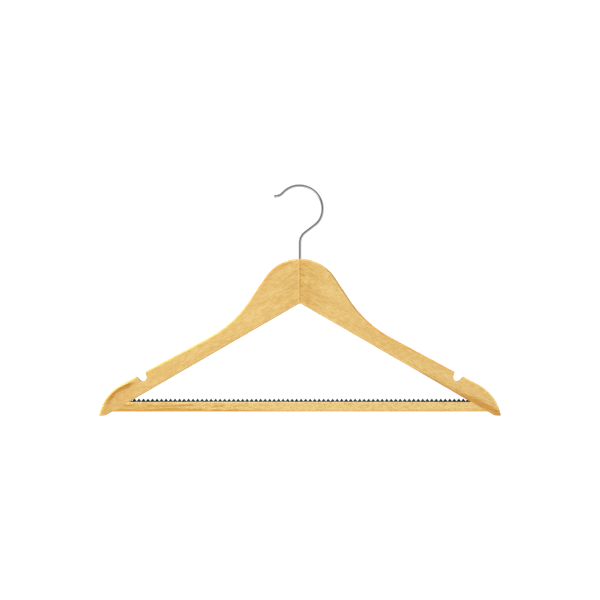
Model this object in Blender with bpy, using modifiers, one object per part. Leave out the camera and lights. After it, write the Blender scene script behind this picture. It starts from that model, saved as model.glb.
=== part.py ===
"""A flat wooden clothes hanger with a swivel hook and a trouser bar with a toothed grip strip.

X runs along the shoulders, Y through the thickness from front to back, and Z up. The origin is on the
swivel axis, where the rod carries the hook. Lengths are in metres and angles in radians.
"""

import math

import bmesh
import bpy
from mathutils import Matrix, Vector

MM = 0.001

# Shoulders, seen from the front
HANGER_WIDTH = 445 * MM
WOOD_THICKNESS = 12 * MM
RIM_RADIUS = 2.2 * MM
CROWN_RADIUS = 46.3 * MM
CROWN_STEEPNESS = math.radians(56.5)
NECK_RUN = 29.3 * MM
SWEEP_RADIUS = 129 * MM
SHOULDER_SLOPE = math.radians(28.25)
TIP_RADIUS = 47.3 * MM
TIP_STEEPNESS = math.radians(81)
FOOT_WIDTH = 7 * MM
FOOT_FILLET = 8 * MM
UNDERSIDE_SLOPE = math.radians(30)

# Notches for straps
NOTCH_WIDTH = 9.3 * MM
NOTCH_DEPTH = 8.4 * MM
NOTCH_SETBACK = 25 * MM
NOTCH_OUTER_FLARE = math.radians(15)
NOTCH_INNER_FLARE = math.radians(9)

# Tongue and slot of the middle joint
TONGUE_THICKNESS = 4.4 * MM
TONGUE_REACH = 7 * MM

# Clearances of pieces that are glued or pressed together
JOINT_GAP = 0.3 * MM

# Trouser bar, its groove and its dowels
BAR_HEIGHT = 10.8 * MM
BAR_RIM_RADIUS = 1.4 * MM
FOOT_BELOW_BAR = 4.65 * MM
GROOVE_DEPTH = 2 * MM
GROOVE_STOP = 1.2 * MM
DOWEL_DIAMETER = 5 * MM
DOWEL_LENGTH = 14 * MM
DOWEL_CHAMFER = 0.5 * MM
DOWEL_END_GAP = 0.5 * MM

# Toothed strip
STRIP_WIDTH = 6 * MM
STRIP_PROUD = 0.4 * MM
TOOTH_PITCH = 5 * MM
TOOTH_HEIGHT = 2.9 * MM
TOOTH_TIP = 0.5 * MM
TOOTH_ROOT = 0.4 * MM
TOOTH_OFFSET = 1.3 * MM

# Hook, bent from wire
WIRE_DIAMETER = 3.4 * MM
HOOK_RADIUS = 25.8 * MM
HOOK_LEAN = 0.8 * MM
HOOK_LEFT_RADIUS = 24.4 * MM
HOOK_LEFT_TURN = math.radians(44)
HOOK_RIGHT_TURN = math.radians(103.7)
NECK_RADIUS = 20.8 * MM
NECK_SLOPE = math.radians(37.5)
BEND_RADIUS = 14 * MM
SHANK_RISE = 17.945 * MM
LIP_RUN = 3.1 * MM
LIP_RADIUS = 9 * MM
LIP_TURN = math.radians(36)
BALL_PROUD = 0.3 * MM
BALL_GROOVE_DEPTH = 0.25 * MM
BALL_GROOVE_LENGTH = 0.5 * MM
BALL_END_ANGLE = math.radians(165)

# Swivel, hidden in the wood
SLEEVE_SUNK = 0.6 * MM
SLEEVE_LENGTH = 16 * MM
SLEEVE_WALL = 0.5 * MM
SLEEVE_RIDGE = 0.3 * MM
SLEEVE_RIDGE_COUNT = 4
SWIVEL_GAP = 0.3 * MM
HEAD_OVERHANG = 0.4 * MM
HEAD_HEIGHT = 1.4 * MM
HEAD_CHAMFER = 0.3 * MM
HEAD_ROOM = 1 * MM

# How finely round shapes are faceted, and how far a cutter runs past what it cuts
ARC_STEP = math.radians(4)
CHORD_TO_MITRE_SHARE = 1.2
BALL_STEP = math.radians(18)
RIM_STEPS = 2
WIRE_STEPS = 4
ROUND_SIDES = 24
SMOOTH_ANGLE = math.radians(35)
WELD = 0.001 * MM
OVERRUN = 2 * MM

# Places that follow from the sizes above
WIRE_RADIUS = WIRE_DIAMETER / 2
BALL_RADIUS = WIRE_RADIUS + BALL_PROUD
BALL_GROOVE_RADIUS = WIRE_RADIUS - BALL_GROOVE_DEPTH
SLEEVE_BORE = WIRE_DIAMETER + 2 * SWIVEL_GAP
HEAD_RADIUS = SLEEVE_BORE / 2 + HEAD_OVERHANG
SLEEVE_DIAMETER = SLEEVE_BORE + 2 * SLEEVE_WALL
HOOK_BORE = SLEEVE_DIAMETER + 2 * SLEEVE_RIDGE + 2 * JOINT_GAP
SLOPE_RATIO = math.tan(UNDERSIDE_SLOPE)
TIP_MITRE = RIM_RADIUS / math.tan(TIP_STEEPNESS / 2)
TIP_CHORD = TIP_MITRE * CHORD_TO_MITRE_SHARE


class Pen:
    """Draws an outline in the X-Z plane from straight runs and arcs."""

    def __init__(self, x, z, heading):
        self.at = Vector((x, z))
        self.heading = heading
        self.points = [self.at.copy()]

    def forward(self, length):
        self.at = self.at + length * Vector((math.cos(self.heading), math.sin(self.heading)))
        self.points.append(self.at.copy())

    def arc(self, radius, turn, shortest=WELD):
        """Turns by an angle along an arc of this radius, to the left where the angle is positive.

        The arc is drawn in chords, and none of them is shorter than the shortest.
        """
        fitting = math.floor(radius * abs(turn) / shortest)
        steps = min(math.ceil(abs(turn) / ARC_STEP), max(fitting, 1))
        half_step = turn / steps / 2
        chord = 2 * radius * math.sin(abs(half_step))
        for _ in range(steps):
            self.heading += half_step
            self.forward(chord)
            self.heading += half_step


def mirrored(points):
    """The points' mirror images across the swivel axis, in the opposite order."""
    return [Vector((-point.x, point.y)) for point in reversed(points)]


def hook_right_side():
    """The wire's centre line from the middle of the hook's arch down to the wood."""
    pen = Pen(-HOOK_LEAN, WIRE_RADIUS, 0)
    pen.arc(HOOK_RADIUS, -HOOK_RIGHT_TURN)
    slope_turn = math.pi - NECK_SLOPE - HOOK_RIGHT_TURN
    pen.arc(NECK_RADIUS, -slope_turn)
    bend_width = BEND_RADIUS * (1 - math.sin(NECK_SLOPE))
    pen.forward((pen.at.x - bend_width) / math.cos(NECK_SLOPE))
    pen.arc(BEND_RADIUS, math.pi / 2 - NECK_SLOPE)
    pen.forward(SHANK_RISE)
    return pen


CROWN_Z = hook_right_side().at.y


def shoulder_edge():
    """The top edge from the crown's middle to the right tip, and where its straight stretch ends.

    The tip's chords are longer than the mitre that its rim makes round the foot's sharp corner.
    """
    pen = Pen(0, CROWN_Z, 0)
    pen.arc(CROWN_RADIUS, -CROWN_STEEPNESS)
    pen.forward(NECK_RUN)
    pen.arc(SWEEP_RADIUS, CROWN_STEEPNESS - SHOULDER_SLOPE)
    tip_width = TIP_RADIUS * (math.sin(TIP_STEEPNESS) - math.sin(SHOULDER_SLOPE))
    pen.forward((HANGER_WIDTH / 2 - tip_width - pen.at.x) / math.cos(SHOULDER_SLOPE))
    straight_end = pen.at.copy()
    pen.arc(TIP_RADIUS, SHOULDER_SLOPE - TIP_STEEPNESS, TIP_CHORD)
    return pen.points, straight_end


FOOT_Z = shoulder_edge()[0][-1].y
FOOT_CORNER_X = HANGER_WIDTH / 2 - FOOT_WIDTH
APEX_Z = FOOT_Z + FOOT_CORNER_X * SLOPE_RATIO
BAR_BOTTOM = FOOT_Z + FOOT_BELOW_BAR
BAR_TOP = BAR_BOTTOM + BAR_HEIGHT
BAR_MIDDLE = BAR_BOTTOM + BAR_HEIGHT / 2
STRIP_REACH = (APEX_Z - BAR_TOP) / SLOPE_RATIO - GROOVE_STOP


def underside_x(z):
    """How far from the swivel axis the arms' straight underside is at a height."""
    return (APEX_Z - z) / SLOPE_RATIO


def underside_run(z):
    """The distance from the apex to a height, along the underside."""
    return (APEX_Z - z) / math.sin(UNDERSIDE_SLOPE)


def underside_edge():
    """The lower edge from the foot to the apex, on the right.

    A tab stands out where the bar's end will be seated. It is cut off again, so that the rim there stays
    square to meet the bar.
    """
    tab = 2 * RIM_RADIUS
    pen = Pen(FOOT_CORNER_X + FOOT_FILLET * math.tan(UNDERSIDE_SLOPE / 2), FOOT_Z, math.pi)
    pen.arc(FOOT_FILLET, -UNDERSIDE_SLOPE)
    fillet_end = underside_run(pen.at.y)
    pen.forward(fillet_end - underside_run(BAR_BOTTOM))
    for turn, run in ((math.pi / 2, tab), (-math.pi / 2, seat_length()), (-math.pi / 2, tab)):
        pen.heading += turn
        pen.forward(run)
    return pen.points + [Vector((0, APEX_Z))]


def seat_length():
    """How long the bar's mitred end is, along the underside."""
    return underside_run(BAR_BOTTOM) - underside_run(BAR_TOP)


def shoulders_outline():
    """Both arms' outline in one closed loop, before the arms are parted at the middle."""
    top, _ = shoulder_edge()
    right = top + underside_edge()
    return right + mirrored(right[1:-1])


def comb_outline():
    """The toothed strip's outline before it is cut to length, with its flat back in the groove."""
    back = BAR_TOP - GROOVE_DEPTH + JOINT_GAP
    root = BAR_TOP + STRIP_PROUD
    flank = (TOOTH_PITCH - TOOTH_TIP - TOOTH_ROOT) / 2
    count = math.ceil(STRIP_REACH / TOOTH_PITCH) + 1
    reach = (count + 1) * TOOTH_PITCH
    points = [Vector((-reach, back)), Vector((-reach, root))]
    for index in range(-count, count + 1):
        middle = TOOTH_OFFSET + index * TOOTH_PITCH
        for side in (-1, 1):
            steps = (TOOTH_TIP / 2 + flank, TOOTH_TIP / 2)[:: -side]
            heights = (root, root + TOOTH_HEIGHT)[:: -side]
            points += [Vector((middle + side * step, height)) for step, height in zip(steps, heights)]
    return points + [Vector((reach, root)), Vector((reach, back))]


def notch_outline(side):
    """A slot with a round bottom in one shoulder's top edge, flared so that it is widest at its mouth."""
    _, straight_end = shoulder_edge()
    along = Vector((math.cos(SHOULDER_SLOPE), -math.sin(SHOULDER_SLOPE)))
    inward = Vector((-math.sin(SHOULDER_SLOPE), -math.cos(SHOULDER_SLOPE)))
    radius = NOTCH_WIDTH / 2
    straight = NOTCH_DEPTH - radius + OVERRUN
    outer_run, inner_run = (
        (straight + radius * math.sin(flare)) / math.cos(flare)
        for flare in (NOTCH_OUTER_FLARE, NOTCH_INNER_FLARE)
    )
    middle = straight_end - NOTCH_SETBACK * along + (NOTCH_DEPTH - radius) * inward
    lean = Matrix.Rotation(-NOTCH_OUTER_FLARE, 2)
    wall = lean @ inward
    start = middle + radius * (lean @ along) - outer_run * wall
    pen = Pen(start.x, start.y, math.atan2(wall.y, wall.x))
    pen.forward(outer_run)
    pen.arc(radius, NOTCH_OUTER_FLARE + NOTCH_INNER_FLARE - math.pi)
    pen.forward(inner_run)
    return pen.points if side > 0 else mirrored(pen.points)


def end_with_profile(pen, radii, profile):
    """Carries a wire on in a straight line, with a radius after each advance."""
    for advance, radius in profile:
        pen.forward(advance)
        radii.append(radius)


def ball_profile():
    """The groove and the ball at the hook's tip, as advances along the wire and radii."""
    profile = [
        (BALL_GROOVE_DEPTH, WIRE_RADIUS),
        (BALL_GROOVE_DEPTH, BALL_GROOVE_RADIUS),
        (BALL_GROOVE_LENGTH, BALL_GROOVE_RADIUS),
    ]
    start = math.asin(BALL_GROOVE_RADIUS / BALL_RADIUS)
    steps = math.ceil((BALL_END_ANGLE - start) / BALL_STEP)
    angles = [start + (BALL_END_ANGLE - start) * step / steps for step in range(steps + 1)]
    for before, angle in zip(angles, angles[1:]):
        advance = BALL_RADIUS * (math.cos(before) - math.cos(angle))
        profile.append((advance, BALL_RADIUS * math.sin(angle)))
    return profile


def head_profile():
    """The shank inside its sleeve and the upset head below it."""
    shank = SLEEVE_SUNK + SLEEVE_LENGTH + SWIVEL_GAP
    return [
        (shank, WIRE_RADIUS),
        (HEAD_CHAMFER, HEAD_RADIUS),
        (HEAD_HEIGHT - 2 * HEAD_CHAMFER, HEAD_RADIUS),
        (HEAD_CHAMFER, HEAD_RADIUS - HEAD_CHAMFER),
    ]


def hook_route():
    """The whole wire's centre line from the ball tip to the head, with its radius at each point."""
    tip = Pen(-HOOK_LEAN, WIRE_RADIUS, math.pi)
    tip.arc(HOOK_LEFT_RADIUS, HOOK_LEFT_TURN)
    tip.forward(LIP_RUN)
    tip.arc(LIP_RADIUS, -LIP_TURN)
    tip_radii = [WIRE_RADIUS] * len(tip.points)
    end_with_profile(tip, tip_radii, ball_profile())
    shank = hook_right_side()
    shank_radii = [WIRE_RADIUS] * len(shank.points)
    end_with_profile(shank, shank_radii, head_profile())
    route = tip.points[::-1] + shank.points[1:]
    return route, tip_radii[::-1] + shank_radii[1:]


def collection_named(name, shown):
    collection = bpy.data.collections.new(name)
    bpy.context.scene.collection.children.link(collection)
    collection.hide_render = not shown
    return collection


def finish(name, colour, roughness, metallic=0.0):
    material = bpy.data.materials.new(name)
    material.use_nodes = True
    shader = material.node_tree.nodes["Principled BSDF"]
    shader.inputs["Base Color"].default_value = (*colour, 1)
    shader.inputs["Roughness"].default_value = roughness
    shader.inputs["Metallic"].default_value = metallic
    return material


def object_of(name, mesh, collection):
    mesh.shade_smooth()
    mesh.set_sharp_from_angle(angle=SMOOTH_ANGLE)
    made = bpy.data.objects.new(name, mesh)
    collection.objects.link(made)
    return made


def cutter_of(name, mesh):
    cutter = object_of(name, mesh, CUTTERS)
    cutter.hide_render = True
    cutter.display_type = "WIRE"
    return cutter


def meshed(curve_object):
    """The mesh of a curve, with its loose caps welded on. The curve is removed."""
    bpy.context.view_layer.update()
    graph = bpy.context.evaluated_depsgraph_get()
    mesh = bpy.data.meshes.new_from_object(curve_object.evaluated_get(graph))
    mesh.transform(curve_object.matrix_world)
    shape = bmesh.new()
    shape.from_mesh(mesh)
    bmesh.ops.remove_doubles(shape, verts=shape.verts, dist=WELD)
    shape.to_mesh(mesh)
    shape.free()
    bpy.data.objects.remove(curve_object)
    return mesh


def curve_through(name, points, dimensions):
    curve = bpy.data.curves.new(name, "CURVE")
    curve.dimensions = dimensions
    spline = curve.splines.new("POLY")
    spline.points.add(len(points) - 1)
    for target, point in zip(spline.points, points):
        target.co = (*point, 1)
    return curve, spline


def plate(name, outline, thickness, rim_radius=0):
    """A flat plate in the X-Z plane from a closed outline, with both its rims rounded over."""
    curve, spline = curve_through(name, [(x, z, 0) for x, z in outline], "2D")
    spline.use_cyclic_u = True
    curve.fill_mode = "BOTH"
    curve.extrude = thickness / 2 - rim_radius
    curve.bevel_depth = rim_radius
    curve.offset = -rim_radius
    curve.bevel_resolution = RIM_STEPS
    guide = bpy.data.objects.new(name, curve)
    guide.matrix_world = Matrix.Rotation(math.pi / 2, 4, "X")
    bpy.context.scene.collection.objects.link(guide)
    return meshed(guide)


def block(name, low, high, place=None):
    """A box between two corners, in the axes of a place."""
    middle = (Vector(low) + Vector(high)) / 2
    size = Vector(high) - Vector(low)
    mesh = bpy.data.meshes.new(name)
    shape = bmesh.new()
    frame = (place or Matrix()) @ Matrix.Translation(middle) @ Matrix.Diagonal((*size, 1))
    bmesh.ops.create_cube(shape, size=1, matrix=frame)
    shape.to_mesh(mesh)
    shape.free()
    return mesh


def cylinder(name, diameter, low, high, axis):
    """A round bar between two points that lie along an axis."""
    low = Vector(low)
    high = Vector(high)
    turn = Vector((0, 0, 1)).rotation_difference(Vector(axis)).to_matrix().to_4x4()
    mesh = bpy.data.meshes.new(name)
    shape = bmesh.new()
    bmesh.ops.create_cone(
        shape,
        cap_ends=True,
        segments=ROUND_SIDES,
        radius1=diameter / 2,
        radius2=diameter / 2,
        depth=(high - low).length,
        matrix=Matrix.Translation((low + high) / 2) @ turn,
    )
    shape.to_mesh(mesh)
    shape.free()
    return mesh


def turned(name, profile, closed, collection):
    """A turned piece: a profile of radii and heights, down its outer side, screwed round Z."""
    count = len(profile)
    edges = [(index, (index + 1) % count) for index in range(count if closed else count - 1)]
    mesh = bpy.data.meshes.new(name)
    mesh.from_pydata([(radius, 0, height) for radius, height in profile], edges, [])
    piece = object_of(name, mesh, collection)
    screw = piece.modifiers.new("turned", "SCREW")
    screw.steps = ROUND_SIDES
    screw.render_steps = ROUND_SIDES
    screw.use_merge_vertices = True
    screw.merge_threshold = WELD
    screw.use_smooth_shade = True
    return piece


def cut(piece, *cutters):
    """Cuts the cutters out of a piece, and marks the corners that they leave as sharp."""
    for cutter in cutters:
        boolean = piece.modifiers.new(cutter.name, "BOOLEAN")
        boolean.operation = "DIFFERENCE"
        boolean.solver = "EXACT"
        boolean.object = cutter
    bpy.context.view_layer.update()
    graph = bpy.context.evaluated_depsgraph_get()
    mesh = bpy.data.meshes.new_from_object(piece.evaluated_get(graph))
    piece.modifiers.clear()
    piece.data = mesh
    mesh.shade_smooth()
    mesh.set_sharp_from_angle(angle=SMOOTH_ANGLE)


def under_side(side):
    """Axes at the apex, with X along one arm's underside and Z into its wood."""
    return Matrix.Translation((0, 0, APEX_Z)) @ Matrix.Rotation(side * UNDERSIDE_SLOPE, 4, "Y")


def underside_block(name, side, start, end, low, high):
    """A box along one arm's underside, from a lower to a higher level above it."""
    depth = WOOD_THICKNESS / 2 + OVERRUN
    near, far = sorted((side * start, side * end))
    return cutter_of(name, block(name, (near, -depth, low), (far, depth, high), under_side(side)))


def seat_cutter(side):
    """Mills the seat of the bar's end, and takes the tab off."""
    start = underside_run(BAR_TOP) - JOINT_GAP
    end = underside_run(BAR_BOTTOM) + JOINT_GAP
    return underside_block(f"bar_seat_{side}", side, start, end, -3 * RIM_RADIUS, JOINT_GAP)


def mitre_cutter(name, side, lift):
    """Trims what would reach into an arm, with its cut at a level from the underside."""
    start = underside_run(BAR_TOP) - 2 * BAR_HEIGHT
    end = underside_run(BAR_BOTTOM) + 2 * BAR_HEIGHT
    return underside_block(f"{name}_{side}", side, start, end, lift, 2 * BAR_HEIGHT)


def dowel_bore(side):
    """The bore through the middle of the bar's end and into the arm."""
    middle = side * underside_x(BAR_MIDDLE)
    half = DOWEL_LENGTH / 2 + DOWEL_END_GAP
    ends = ((middle - half, 0, BAR_MIDDLE), (middle + half, 0, BAR_MIDDLE))
    diameter = DOWEL_DIAMETER + 2 * JOINT_GAP
    return cutter_of(f"dowel_bore_{side}", cylinder(f"dowel_bore_{side}", diameter, *ends, (1, 0, 0)))


def notch_cutter(side):
    depth = WOOD_THICKNESS + 2 * OVERRUN
    return cutter_of(f"notch_{side}", plate(f"notch_{side}", notch_outline(side), depth))


def hook_bore():
    """The blind bore at the middle joint, for the sleeve and the hook's head."""
    depth = SLEEVE_SUNK + SLEEVE_LENGTH + SWIVEL_GAP + HEAD_HEIGHT + HEAD_ROOM
    ends = ((0, 0, CROWN_Z - depth), (0, 0, CROWN_Z + OVERRUN))
    return cutter_of("hook_bore", cylinder("hook_bore", HOOK_BORE, *ends, (0, 0, 1)))


def middle_block(name, near, far, front, back):
    """A box over the whole height at the middle joint."""
    low = (near, front, FOOT_Z - OVERRUN)
    high = (far, back, CROWN_Z + OVERRUN)
    return cutter_of(name, block(name, low, high))


def left_parting():
    """What parts the left arm from the right and leaves its tongue standing."""
    end = HANGER_WIDTH / 2 + OVERRUN
    depth = WOOD_THICKNESS / 2 + OVERRUN
    cheek = TONGUE_THICKNESS / 2
    return (
        middle_block("past_tongue", TONGUE_REACH, end, -depth, depth),
        middle_block("front_cheek", -JOINT_GAP / 2, end, -depth, -cheek),
        middle_block("back_cheek", -JOINT_GAP / 2, end, cheek, depth),
    )


def right_parting():
    """What parts the right arm from the left and opens its slot for the tongue."""
    end = HANGER_WIDTH / 2 + OVERRUN
    depth = WOOD_THICKNESS / 2 + OVERRUN
    slot = TONGUE_THICKNESS / 2 + JOINT_GAP
    return (
        middle_block("left_of_middle", -end, JOINT_GAP / 2, -depth, depth),
        middle_block("tongue_slot", -OVERRUN, TONGUE_REACH + JOINT_GAP, -slot, slot),
    )


def make_arms(wood):
    """Both arms, from one blank with rounded rims."""
    blank = plate("shoulders", shoulders_outline(), WOOD_THICKNESS, RIM_RADIUS)
    bore = hook_bore()
    arms = []
    for name, side, parting in (("left_arm", -1, left_parting()), ("right_arm", 1, right_parting())):
        arm = object_of(name, blank.copy(), PARTS)
        arm.data.materials.clear()
        arm.data.materials.append(wood[name])
        cut(arm, *parting, bore, seat_cutter(side), notch_cutter(side), DOWEL_BORES[side])
        arms.append(arm)
    return arms


def make_bar(wood):
    """The bar, with rounded long edges, mitred ends, a groove on top and a bore in each end."""
    reach = underside_x(BAR_BOTTOM) + OVERRUN
    half = WOOD_THICKNESS / 2
    mesh = block("trouser_bar", (-reach, -half, BAR_BOTTOM), (reach, half, BAR_TOP))
    shape = bmesh.new()
    shape.from_mesh(mesh)
    long_edges = [edge for edge in shape.edges if abs(edge.verts[0].co.x - edge.verts[1].co.x) > reach]
    segments = 2 * RIM_STEPS
    bmesh.ops.bevel(
        shape,
        geom=long_edges,
        offset=BAR_RIM_RADIUS,
        segments=segments,
        profile=0.5,
        affect="EDGES",
    )
    shape.to_mesh(mesh)
    shape.free()
    bar = object_of("trouser_bar", mesh, PARTS)
    mesh.materials.append(wood)
    groove_half = STRIP_WIDTH / 2 + JOINT_GAP
    low = (-STRIP_REACH, -groove_half, BAR_TOP - GROOVE_DEPTH)
    high = (STRIP_REACH, groove_half, BAR_TOP + OVERRUN)
    groove = cutter_of("strip_groove", block("strip_groove", low, high))
    mitres = [mitre_cutter("bar_mitre", side, 0) for side in (-1, 1)]
    cut(bar, groove, *mitres, *DOWEL_BORES.values())
    return bar


def length_cutter(side):
    """Takes off what the toothed strip has beyond the groove's end."""
    near, far = sorted((side * (STRIP_REACH - JOINT_GAP), side * (STRIP_REACH + 4 * TOOTH_PITCH)))
    low = (near, -STRIP_WIDTH, BAR_BOTTOM)
    high = (far, STRIP_WIDTH, BAR_TOP + BAR_HEIGHT)
    return cutter_of(f"strip_end_{side}", block(f"strip_end_{side}", low, high))


def make_strip(rubber):
    """The toothed strip, cut to length and trimmed under the arms at both ends."""
    strip = object_of("grip_strip", plate("grip_strip", comb_outline(), STRIP_WIDTH), PARTS)
    strip.data.materials.clear()
    strip.data.materials.append(rubber)
    for side in (-1, 1):
        cut(strip, length_cutter(side), mitre_cutter("strip_mitre", side, -JOINT_GAP))
    return strip


def make_dowels(wood):
    """A chamfered dowel across each joint between bar and arm."""
    radius = DOWEL_DIAMETER / 2
    half = DOWEL_LENGTH / 2
    profile = [
        (0, half),
        (radius - DOWEL_CHAMFER, half),
        (radius, half - DOWEL_CHAMFER),
        (radius, DOWEL_CHAMFER - half),
        (radius - DOWEL_CHAMFER, -half),
        (0, -half),
    ]
    dowels = []
    for name, side in (("left_bar_dowel", -1), ("right_bar_dowel", 1)):
        dowel = turned(name, profile, False, PARTS)
        dowel.data.materials.append(wood)
        dowel.rotation_euler = (0, math.pi / 2, 0)
        dowel.location = (side * underside_x(BAR_MIDDLE), 0, BAR_MIDDLE)
        dowels.append(dowel)
    return dowels


def sleeve_profile():
    """The ridged tube's section: down its outer side, then up its bore."""
    bore = SLEEVE_BORE / 2
    outside = SLEEVE_DIAMETER / 2
    spacing = SLEEVE_LENGTH / (SLEEVE_RIDGE_COUNT + 1)
    profile = [(outside, 0)]
    for index in range(1, SLEEVE_RIDGE_COUNT + 1):
        height = -index * spacing
        profile += [
            (outside, height + SLEEVE_RIDGE / 2),
            (outside + SLEEVE_RIDGE, height + SLEEVE_RIDGE / 2),
            (outside, height - 2 * SLEEVE_RIDGE),
        ]
    return profile + [(outside, -SLEEVE_LENGTH), (bore, -SLEEVE_LENGTH), (bore, 0)]


def make_sleeve(steel):
    """The sleeve that the hook turns in, just below the top of the wood."""
    sleeve = turned("hook_sleeve", sleeve_profile(), True, PARTS)
    sleeve.data.materials.append(steel)
    sleeve.location = (0, 0, CROWN_Z - SLEEVE_SUNK)
    return sleeve


def make_hook(chrome):
    """The wire, from its ball tip over the rod and down through the sleeve to its head."""
    route, radii = hook_route()
    curve, spline = curve_through("hook", [(x, 0, z) for x, z in route], "3D")
    curve.bevel_depth = 1
    curve.bevel_resolution = WIRE_STEPS
    curve.use_fill_caps = True
    for point, radius in zip(spline.points, radii):
        point.radius = radius
    guide = bpy.data.objects.new("hook", curve)
    bpy.context.scene.collection.objects.link(guide)
    hook = object_of("hook", meshed(guide), PARTS)
    hook.data.materials.append(chrome)
    return hook


def hang_from(pivot, pieces):
    """Parents pieces to a pivot and leaves them where they are."""
    for piece in pieces:
        piece.parent = pivot
        piece.matrix_parent_inverse = Matrix.Translation(-pivot.location)


def pivot_at(name, height):
    pivot = bpy.data.objects.new(name, None)
    pivot.location = (0, 0, height)
    PARTS.objects.link(pivot)
    return pivot


for leftover in list(bpy.data.objects):
    bpy.data.objects.remove(leftover)

PARTS = collection_named("clothes_hanger", True)
CUTTERS = collection_named("cutters", False)
DOWEL_BORES = {side: dowel_bore(side) for side in (-1, 1)}

ARM_WOOD = {
    "left_arm": finish("left_arm_wood", (0.78, 0.53, 0.20), 0.4),
    "right_arm": finish("right_arm_wood", (0.76, 0.50, 0.17), 0.4),
}
BAR_WOOD = finish("bar_wood", (0.80, 0.56, 0.22), 0.4)
DOWEL_WOOD = finish("dowel_wood", (0.70, 0.52, 0.30), 0.7)
STRIP_RUBBER = finish("strip_rubber", (0.02, 0.025, 0.03), 0.5)
HOOK_CHROME = finish("hook_chrome", (0.80, 0.80, 0.82), 0.12, 1.0)
SLEEVE_STEEL = finish("sleeve_steel", (0.60, 0.60, 0.58), 0.35, 1.0)

hanging_point = pivot_at("hanging_point", 0)
swivel = pivot_at("swivel", CROWN_Z)
wooden = make_arms(ARM_WOOD) + [make_bar(BAR_WOOD), make_strip(STRIP_RUBBER)]
hang_from(hanging_point, [make_hook(HOOK_CHROME)])
hang_from(swivel, wooden + make_dowels(DOWEL_WOOD) + [make_sleeve(SLEEVE_STEEL)])
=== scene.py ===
import math

import bmesh
import bpy
from mathutils import Matrix, Vector


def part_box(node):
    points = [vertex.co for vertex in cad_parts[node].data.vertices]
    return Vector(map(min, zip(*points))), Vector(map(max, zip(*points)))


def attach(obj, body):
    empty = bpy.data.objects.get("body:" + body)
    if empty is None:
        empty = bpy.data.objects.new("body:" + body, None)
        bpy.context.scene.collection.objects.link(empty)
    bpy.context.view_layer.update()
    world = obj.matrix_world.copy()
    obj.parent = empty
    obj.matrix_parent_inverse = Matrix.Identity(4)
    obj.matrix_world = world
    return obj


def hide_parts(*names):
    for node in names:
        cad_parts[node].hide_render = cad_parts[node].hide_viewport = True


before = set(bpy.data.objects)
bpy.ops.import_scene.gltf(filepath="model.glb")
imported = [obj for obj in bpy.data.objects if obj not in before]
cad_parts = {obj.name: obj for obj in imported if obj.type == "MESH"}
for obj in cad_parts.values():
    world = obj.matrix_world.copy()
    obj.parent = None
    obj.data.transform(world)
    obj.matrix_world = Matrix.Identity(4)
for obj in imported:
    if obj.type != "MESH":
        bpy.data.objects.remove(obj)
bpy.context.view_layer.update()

# Lengths are in metres and angles in radians. X runs along the shoulders, Y from front to back, Z up.
MM = 0.001

# Which way along X, and which way along Y
LEFT = -1
RIGHT = 1
SIDES = (LEFT, RIGHT)
FRONT = -1
BACK = 1

# The hanger's sizes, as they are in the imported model
HANGER_WIDTH = 445 * MM
WOOD_THICKNESS = 12 * MM
RIM_RADIUS = 2.2 * MM
CROWN_RADIUS = 46.3 * MM
CROWN_STEEPNESS = math.radians(56.5)
NECK_RUN = 29.3 * MM
SWEEP_RADIUS = 129 * MM
SHOULDER_SLOPE = math.radians(28.25)
TIP_RADIUS = 47.3 * MM
TIP_STEEPNESS = math.radians(81)
TIP_CHORD = 3.2 * MM
FOOT_WIDTH = 7 * MM
FOOT_FILLET = 8 * MM
UNDERSIDE_SLOPE = math.radians(30)
NOTCH_WIDTH = 9.3 * MM
NOTCH_DEPTH = 8.4 * MM
NOTCH_SETBACK = 25 * MM
NOTCH_OUTER_FLARE = math.radians(15)
NOTCH_INNER_FLARE = math.radians(9)
TONGUE_THICKNESS = 4.4 * MM
TONGUE_REACH = 7 * MM
BAR_HEIGHT = 10.8 * MM
BAR_RIM_RADIUS = 1.4 * MM
FOOT_BELOW_BAR = 4.65 * MM
GROOVE_DEPTH = 2 * MM
GROOVE_STOP = 1.2 * MM
DOWEL_BORE = 5.6 * MM
DOWEL_BORE_LENGTH = 15 * MM
STRIP_WIDTH = 6 * MM
STRIP_PROUD = 0.4 * MM
TOOTH_PITCH = 5 * MM
TOOTH_HEIGHT = 2.9 * MM
TOOTH_TIP = 0.5 * MM
TOOTH_ROOT = 0.4 * MM
TOOTH_OFFSET = 1.3 * MM
WIRE_RADIUS = 1.7 * MM
HOOK_RADIUS = 25.8 * MM
HOOK_LEAN = 0.8 * MM
HOOK_LEFT_RADIUS = 24.4 * MM
HOOK_LEFT_TURN = math.radians(44)
HOOK_RIGHT_TURN = math.radians(103.7)
NECK_RADIUS = 20.8 * MM
NECK_SLOPE = math.radians(37.5)
BEND_RADIUS = 14 * MM
SHANK_RISE = 17.945 * MM
LIP_RUN = 3.1 * MM
LIP_RADIUS = 9 * MM
LIP_TURN = math.radians(36)
BALL_RADIUS = 2 * MM
BALL_GROOVE_RADIUS = 1.45 * MM
BALL_GROOVE_DEPTH = 0.25 * MM
BALL_GROOVE_LENGTH = 0.5 * MM
BALL_END_ANGLE = math.radians(165)
SLEEVE_SUNK = 0.6 * MM
SLEEVE_LENGTH = 16 * MM
SLEEVE_BORE = 4 * MM
SLEEVE_DIAMETER = 5 * MM
SLEEVE_RIDGE = 0.3 * MM
SLEEVE_RIDGE_COUNT = 4
HOOK_BORE = 6.2 * MM
HOOK_BORE_DEPTH = 19.3 * MM
HEAD_RADIUS = 2.4 * MM
HEAD_HEIGHT = 1.4 * MM
HEAD_CHAMFER = 0.3 * MM
SHANK_IN_WOOD = 16.9 * MM

# The closer joints and finer edges of the real one
HAIRLINE = 0.06 * MM
SEAM_EASE = 0.35 * MM
TOOTH_ROUNDING = 0.12 * MM
STRIP_EDGE = 0.15 * MM
SNUG = 0.05 * MM

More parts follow.
